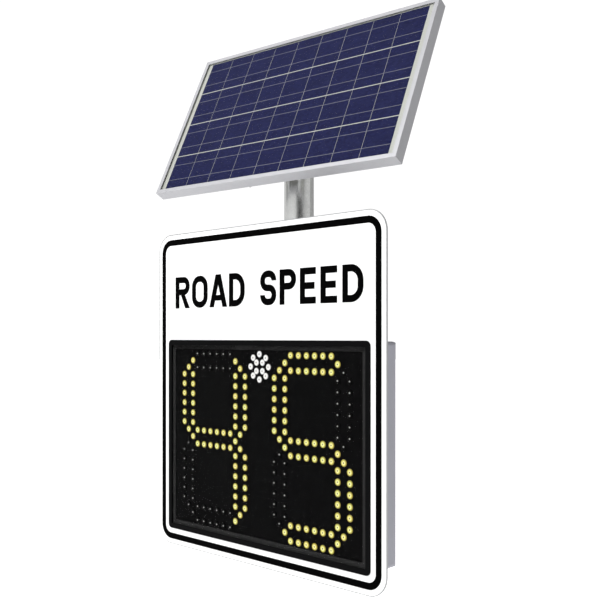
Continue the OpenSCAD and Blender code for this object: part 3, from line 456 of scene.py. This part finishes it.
# The material of each material slot of the record
MATERIALS = {
    "galvanised": galvanised(),
    "plate_edge": brushed("plate_edge", (0.37, 0.375, 0.38), 0.42, along="X", metal=0.8),
    "white_sheeting": sheeting(),
    "black_film": plain("black_film", (0.0007, 0.0007, 0.0007), 0.6, specular=0.01, grain=0.02 * MM),
    "bezel": powder_coat("bezel_paint", (0.0022, 0.0022, 0.0024), 0.6, specular=0.03),
    "window": clear_sheet("window_pane", (0.98, 0.98, 0.98), grazing=0.06, rough=0.08),
    "black_rubber": plain("black_rubber", (0.012, 0.012, 0.012), 0.8, specular=0.2, tone=0.15),
    "black_mask": plain("black_mask", (0.0020, 0.0020, 0.0021), 0.8, specular=0.03, grain=0.1 * MM),
    "circuit_board": circuit_board(),
    "led_amber": lit_lens("lens_amber", AMBER_STOPS, warm=(1.0, 0.94, 0.80), cool=(0.95, 1.0, 0.92)),
    "led_dark": unlit_lens(),
    "led_white": lit_lens("lens_white", WHITE_STOPS, warm=(1.0, 1.0, 0.98), cool=(0.97, 0.99, 1.0)),
    "grey_paint": powder_coat("grey_paint", (0.36, 0.36, 0.405), 0.42),
    "zinc": brushed("zinc_plate", (0.50, 0.50, 0.485), 0.32, along="Y", metal=0.9, tone=0.09),
    "stainless": brushed("stainless", (0.58, 0.575, 0.57), 0.3, along="Z"),
    "aluminium": brushed("mill_aluminium", (0.60, 0.605, 0.61), 0.4, along="X", metal=0.9),
    "brass": brushed("brass", (0.62, 0.45, 0.16), 0.3, along="Y"),
    "controller_case": plain("controller_case", (0.045, 0.09, 0.17), 0.45, tone=0.08),
    "rocker_red": plain("rocker_red", (0.45, 0.02, 0.015), 0.3, tone=0.06),
    "terminal_green": plain("terminal_green", (0.03, 0.19, 0.07), 0.4, tone=0.08),
    "battery_case": plain("battery_case", (0.018, 0.018, 0.020), 0.5, tone=0.12),
    "webbing": webbing(),
    "black_nylon": plain("black_nylon", (0.016, 0.016, 0.017), 0.55, tone=0.12, grain=0.08 * MM),
    "frame_alu": plain("anodised_frame", (0.42, 0.42, 0.44), 0.42, metal=0.35, tone=0.03, grain=0.01 * MM),
    "solar_glass": clear_sheet("solar_glass", (0.985, 0.99, 0.985), grazing=0.02, rough=0.1),
    "cell_blue": silicon(),
    "backsheet_white": plain("backsheet", (0.42, 0.42, 0.39), 0.5, tone=0.02, grain=0.02 * MM),
}
RIBBON = brushed("tinned_ribbon", (0.14, 0.14, 0.18), 0.5, along="X", metal=0.1)

SLOT_OF = {entry["node"]: entry["material_slot"] for entry in frame["record"]["subparts"]}
BODY_OF = {node: body for body, nodes in frame["record"]["behaviour"]["bodies"].items() for node in nodes}

for node_name, node_object in NODES.items():
    node_object.data.materials.clear()
    node_object.data.materials.append(MATERIALS[SLOT_OF[node_name]])

# ---------------------------------------------------------------- pieces built for their looks


def solids(node_name):
    """The points of each separate solid of a CAD node."""
    mesh = NODES[node_name].data
    parent = {}

    def point_of(index):
        return tuple(round(c, SAME_POINT_DIGITS) for c in mesh.vertices[index].co)

    def root(point):
        while parent[point] != point:
            parent[point] = parent[parent[point]]
            point = parent[point]
        return point

    for polygon in mesh.polygons:
        corners = [point_of(index) for index in polygon.vertices]
        for corner in corners:
            parent.setdefault(corner, corner)
        for corner in corners[1:]:
            parent[root(corner)] = root(corners[0])
    groups = {}
    for point in sorted(parent):
        groups.setdefault(root(point), []).append(Vector(point))
    return list(groups.values())


def spans(points, axes):
    """Lowest and highest place of the points along each axis."""
    places = [[p.dot(axis) for p in points] for axis in axes]
    return [(min(along), max(along)) for along in places]


def make_piece(name, points, faces, materials, uvs=None, face_materials=None, tints=None):
    """One mesh object from points and faces; uvs and tints go by point."""
    mesh = bpy.data.meshes.new(name)
    mesh.from_pydata(points, [], faces)
    for material in materials:
        mesh.materials.append(material)
    if uvs:
        layer = mesh.uv_layers.new(name="UVMap")
        for loop in mesh.loops:
            layer.data[loop.index].uv = uvs[loop.vertex_index]
    if face_materials:
        mesh.polygons.foreach_set("material_index", face_materials)
    if tints:
        layer = mesh.attributes.new("tint", "FLOAT", "POINT")
        layer.data.foreach_set("value", tints)
    made = bpy.data.objects.new(name, mesh)
    bpy.context.scene.collection.objects.link(made)
    return made


def stand_for(piece, node_name):
    """piece takes the place of a CAD node: it joins the node's body, and the node is hidden."""
    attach(piece, BODY_OF[node_name])
    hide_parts(node_name)


def lens_piece(name, node_name, seed):
    """Domed lenses in place of the plain ones of a CAD node."""
    dice = random.Random(seed)
    points, faces, uvs, tints = [], [], [], []
    for solid in solids(node_name):
        (left, right), (_, back), (bottom, top) = spans(solid, Matrix.Identity(3))
        middle_x, middle_z, radius = (left + right) / 2, (bottom + top) / 2, (right - left) / 2
        tint = dice.random()
        first = len(points)
        for share, lift in LENS_RINGS:
            for side in range(LENS_SIDES):
                angle = 2 * math.pi * side / LENS_SIDES
                across, up = share * math.cos(angle), share * math.sin(angle)
                points.append((middle_x + radius * across, back - lift * LENS_HEIGHT,
                               middle_z + radius * up))
                uvs.append((0.5 + across / 2, 0.5 + up / 2))
        points.append((middle_x, back - LENS_HEIGHT, middle_z))
        uvs.append((0.5, 0.5))
        tip = len(points) - 1
        for ring in range(len(LENS_RINGS) - 1):
            for side in range(LENS_SIDES):
                a = first + ring * LENS_SIDES + side
                b = first + ring * LENS_SIDES + (side + 1) % LENS_SIDES
                faces.append((a, b, b + LENS_SIDES, a + LENS_SIDES))
        crown = first + (len(LENS_RINGS) - 1) * LENS_SIDES
        for side in range(LENS_SIDES):
            faces.append((crown + side, crown + (side + 1) % LENS_SIDES, tip))
        faces.append(tuple(first + side for side in reversed(range(LENS_SIDES))))
        tints += [tint] * (len(points) - first)
    piece = make_piece(name, points, faces, [MATERIALS[SLOT_OF[node_name]]], uvs, tints=tints)
    for polygon in piece.data.polygons:
        polygon.use_smooth = len(polygon.vertices) < LENS_SIDES
    stand_for(piece, node_name)


def panel_axes():
    """The solar panel's directions along it, up its slope and out of its glass."""
    face = max(NODES["panel_glass"].data.polygons, key=lambda polygon: polygon.area)
    out = face.normal * (1 if face.normal.z > 0 else -1)
    along = Vector((0, 0, 1)).cross(out).normalized()
    return along, out.cross(along), out


def solar_cells():
    """Cells, and the tinned ribbons soldered along each row."""
    axes = panel_axes()
    boxes = [spans(solid, axes) for solid in solids("solar_cells")]
    left = min(box[0][0] for box in boxes)
    right = max(box[0][1] for box in boxes)
    lowest = min(box[1][0] for box in boxes)
    length = right - left
    points, faces, uvs, face_slots = [], [], [], []

    def block(span_x, span_y, span_z, slot):
        first = len(points)
        (x_low, x_high), (y_low, y_high) = span_x, span_y
        for z in span_z:
            for x, y in ((x_low, y_low), (x_high, y_low), (x_high, y_high), (x_low, y_high)):
                points.append(axes[0] * x + axes[1] * y + axes[2] * z)
                uvs.append(((x - left) / length, (y - lowest) / length))
        for corners in BLOCK_FACES:
            faces.append(tuple(first + corner for corner in corners))
            face_slots.append(slot)

    for span_x, span_y, (bottom, top) in boxes:
        block(span_x, span_y, (bottom, top - RIBBON_HEIGHT - RIBBON_SINK), CELL_SLOT)
    rows = sorted({tuple(round(edge, SAME_ROW_DIGITS) for edge in box[1]) for box in boxes})
    ribbon_top = boxes[0][2][1] - RIBBON_SINK
    for low, high in rows:
        for share in (BUSBAR_SHARE, 1 - BUSBAR_SHARE):
            y = low + (high - low) * share
            ribbon_width = (y - BUSBAR_WIDTH / 2, y + BUSBAR_WIDTH / 2)
            block((left, right), ribbon_width, (ribbon_top - RIBBON_HEIGHT, ribbon_top), RIBBON_SLOT)
    piece = make_piece("cell_matrix", points, faces, [MATERIALS["cell_blue"], RIBBON], uvs, face_slots)
    stand_for(piece, "solar_cells")


for seed, node_name in enumerate(("tens_leds_lit", "tens_leds_unlit", "units_leds_lit",
                                  "units_leds_unlit", "strobe_leds")):
    lens_piece(node_name.replace("leds", "lenses"), node_name, seed)
solar_cells()

# ---------------------------------------------------------------- studio


def light_walls(scene):
    """The studio's walls: bright and dark for the part, and plain white for the camera."""
    world = bpy.data.worlds.new("studio")
    scene.world = world
    world.use_nodes = True
    sky = Nodes(world.node_tree)
    background = sky.tree.nodes["Background"]
    background.inputs["Color"].default_value = (1, 1, 1, 1)
    axes = sky.node("SeparateXYZ")
    sky.link(sky.node("TexCoord").outputs["Generated"], axes.inputs[0])
    azimuth = sky.calc("ARCTAN2", axes.outputs["Y"], axes.outputs["X"])
    stops = [((degrees + 180) / 360, (level, level, level)) for degrees, level in STUDIO_WALLS]
    walls = sky.ramp(sky.spread(azimuth, 0, 1, start=-math.pi, end=math.pi), stops)
    seen = sky.node("LightPath").outputs["Is Camera Ray"]
    sky.link(sky.blend(seen, walls, BACKDROP_SEEN, numbers=True), background.inputs["Strength"])


def key_light(scene):
    """Large soft lamp, above the front and to the left of it."""
    data = bpy.data.lights.new("key", "AREA")
    data.shape = "RECTANGLE"
    data.size, data.size_y = KEY_SIZE
    data.energy = KEY_WATTS
    lamp = bpy.data.objects.new("key", data)
    scene.collection.objects.link(lamp)
    lamp.location = KEY_PLACE
    aim = (CAD_BOX[0] + CAD_BOX[1]) / 2 - Vector(KEY_PLACE)
    lamp.rotation_euler = aim.to_track_quat("-Z", "Y").to_euler()


def floor_sheet():
    half = FLOOR_LENGTH / 2
    height = CAD_BOX[0].z - FLOOR_DROP
    corners = [(x, y, height) for x, y in ((-half, -half), (half, -half), (half, half), (-half, half))]
    floor = make_piece("studio_floor_sheet", corners, [(0, 1, 2, 3)], [pale_floor()])


def place_camera(scene):
    data = bpy.data.cameras.new("camera")
    data.lens = CAMERA_LENS
    data.sensor_width = CAMERA_SENSOR
    data.shift_y = CAMERA_SHIFT_UP
    camera = bpy.data.objects.new("camera", data)
    scene.collection.objects.link(camera)
    camera.location = CAMERA_PLACE
    camera.rotation_euler = Euler((math.radians(90), 0, math.radians(CAMERA_TURN)))
    scene.camera = camera


def studio():
    scene = bpy.context.scene
    scene.view_settings.view_transform = "Standard"
    light_walls(scene)
    key_light(scene)
    floor_sheet()
    place_camera(scene)


studio()
